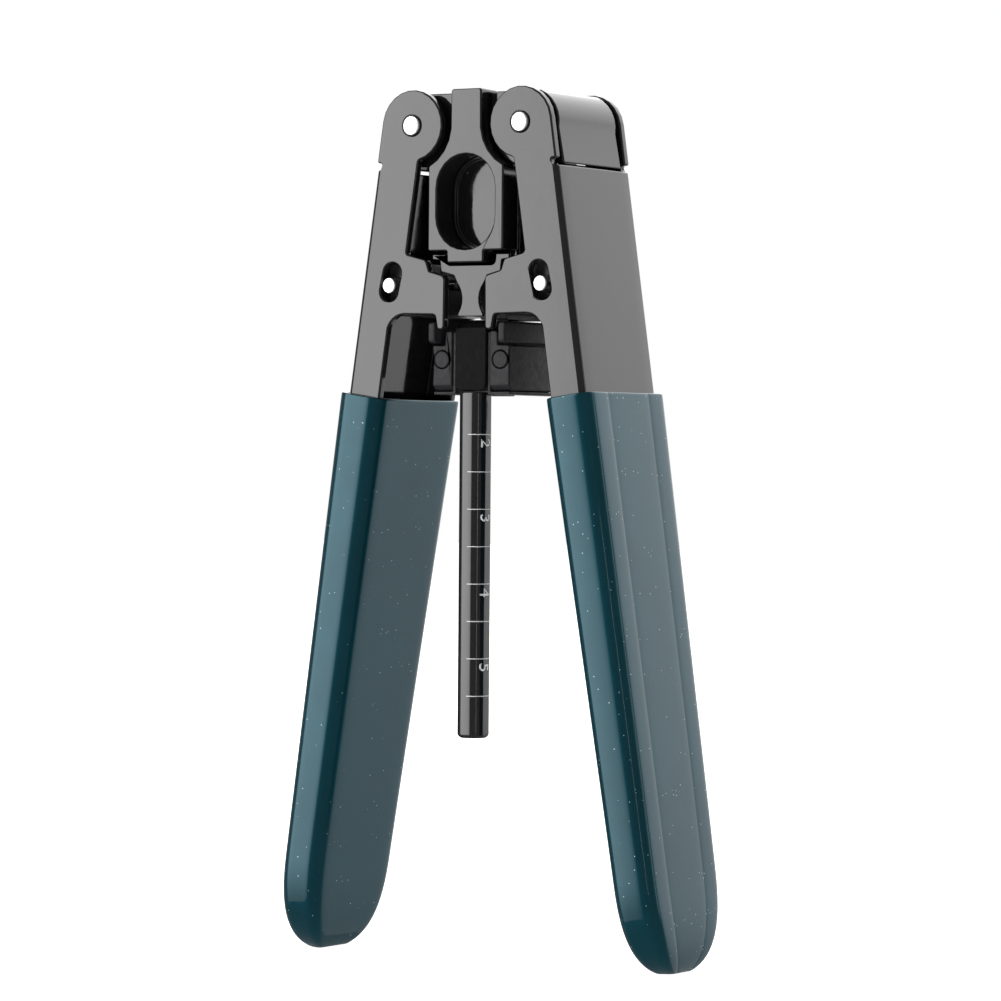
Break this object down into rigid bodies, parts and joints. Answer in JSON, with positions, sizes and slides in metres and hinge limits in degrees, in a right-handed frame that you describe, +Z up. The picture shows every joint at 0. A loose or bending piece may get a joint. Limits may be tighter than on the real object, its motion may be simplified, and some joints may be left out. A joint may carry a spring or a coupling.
{
  "type": "drop cable stripping pliers",
  "caption": "Sprung hand pliers that slit and strip flat drop cable: channel handles with vinyl grips on a black head with blade slides, cable guide and a length scale.",
  "frame": {"origin": "centre of the bounding box on the level of the grip tips, where the tool stands", "axes": "+X to the right handle, -Y out of the window side, +Z up from the grips to the pivots"},
  "size_m": [0.0602, 0.0214, 0.1171],
  "materials": {
    "black_lacquer": "deep gloss black stoving lacquer over pressed steel",
    "cast_black": "semi-matt black lacquer over a fine cast surface",
    "bright_steel": "bright nickel-plated steel pins",
    "spring_steel": "plain drawn spring wire and zinc-plated small parts",
    "blade_steel": "ground and hardened tool steel",
    "teal_vinyl": "glossy dark teal dipped vinyl with fine metallic fleck"
  },
  "bodies": {
    "head": {"head_frame": "black_lacquer", "left_pivot_pin": "bright_steel", "left_front_washer": "spring_steel", "left_rear_washer": "spring_steel", "right_pivot_pin": "bright_steel", "right_front_washer": "spring_steel", "right_rear_washer": "spring_steel", "window_column": "black_lacquer", "rear_column": "black_lacquer", "window_plate": "black_lacquer", "spine_block": "cast_black", "front_guide_rod": "bright_steel", "rear_guide_rod": "bright_steel", "clasp_plate": "black_lacquer", "rear_clasp_plate": "black_lacquer", "slide_bridge": "cast_black", "guide_block": "cast_black", "left_side_plate": "black_lacquer", "left_cheek": "cast_black", "left_cheek_rivet": "cast_black", "left_tie_bar": "black_lacquer", "right_side_plate": "black_lacquer", "right_cheek": "cast_black", "right_cheek_rivet": "cast_black", "right_tie_bar": "black_lacquer", "ruler_bar": "black_lacquer"},
    "left_handle_body": {"left_handle": "black_lacquer", "left_grip": "teal_vinyl", "left_return_spring": "spring_steel"},
    "right_handle_body": {"right_handle": "black_lacquer", "right_grip": "teal_vinyl", "right_return_spring": "spring_steel"},
    "left_slide_body": {"left_slide": "cast_black", "left_slide_pin": "bright_steel", "left_blade": "blade_steel", "left_blade_screw": "spring_steel"},
    "right_slide_body": {"right_slide": "cast_black", "right_slide_pin": "bright_steel", "right_blade": "blade_steel", "right_blade_screw": "spring_steel"}
  },
  "joints": [
    {"name": "left_handle_turn", "type": "hinge", "parent": "head", "child": "left_handle_body", "pos_m": [-0.00853, 0, 0.1123], "axis": [0, -1, 0], "range_deg": [0, 6.8], "stiffness_Nm_per_rad": 0.4, "springref_deg": -20.05},
    {"name": "right_handle_turn", "type": "hinge", "parent": "head", "child": "right_handle_body", "pos_m": [0.00853, 0, 0.1123], "axis": [0, 1, 0], "range_deg": [0, 6.8], "stiffness_Nm_per_rad": 0.4, "springref_deg": -20.05},
    {"name": "left_slide_travel", "type": "slide", "parent": "head", "child": "left_slide_body", "axis": [1, 0, 0], "range_m": [0, 0.0026]},
    {"name": "right_slide_travel", "type": "slide", "parent": "head", "child": "right_slide_body", "axis": [-1, 0, 0], "range_m": [0, 0.0026]}
  ],
  "couplings": [
    {"joint": "left_slide_travel", "follows": "left_handle_turn", "m_per_rad": 0.0216},
    {"joint": "right_slide_travel", "follows": "right_handle_turn", "m_per_rad": 0.0216}
  ]
}
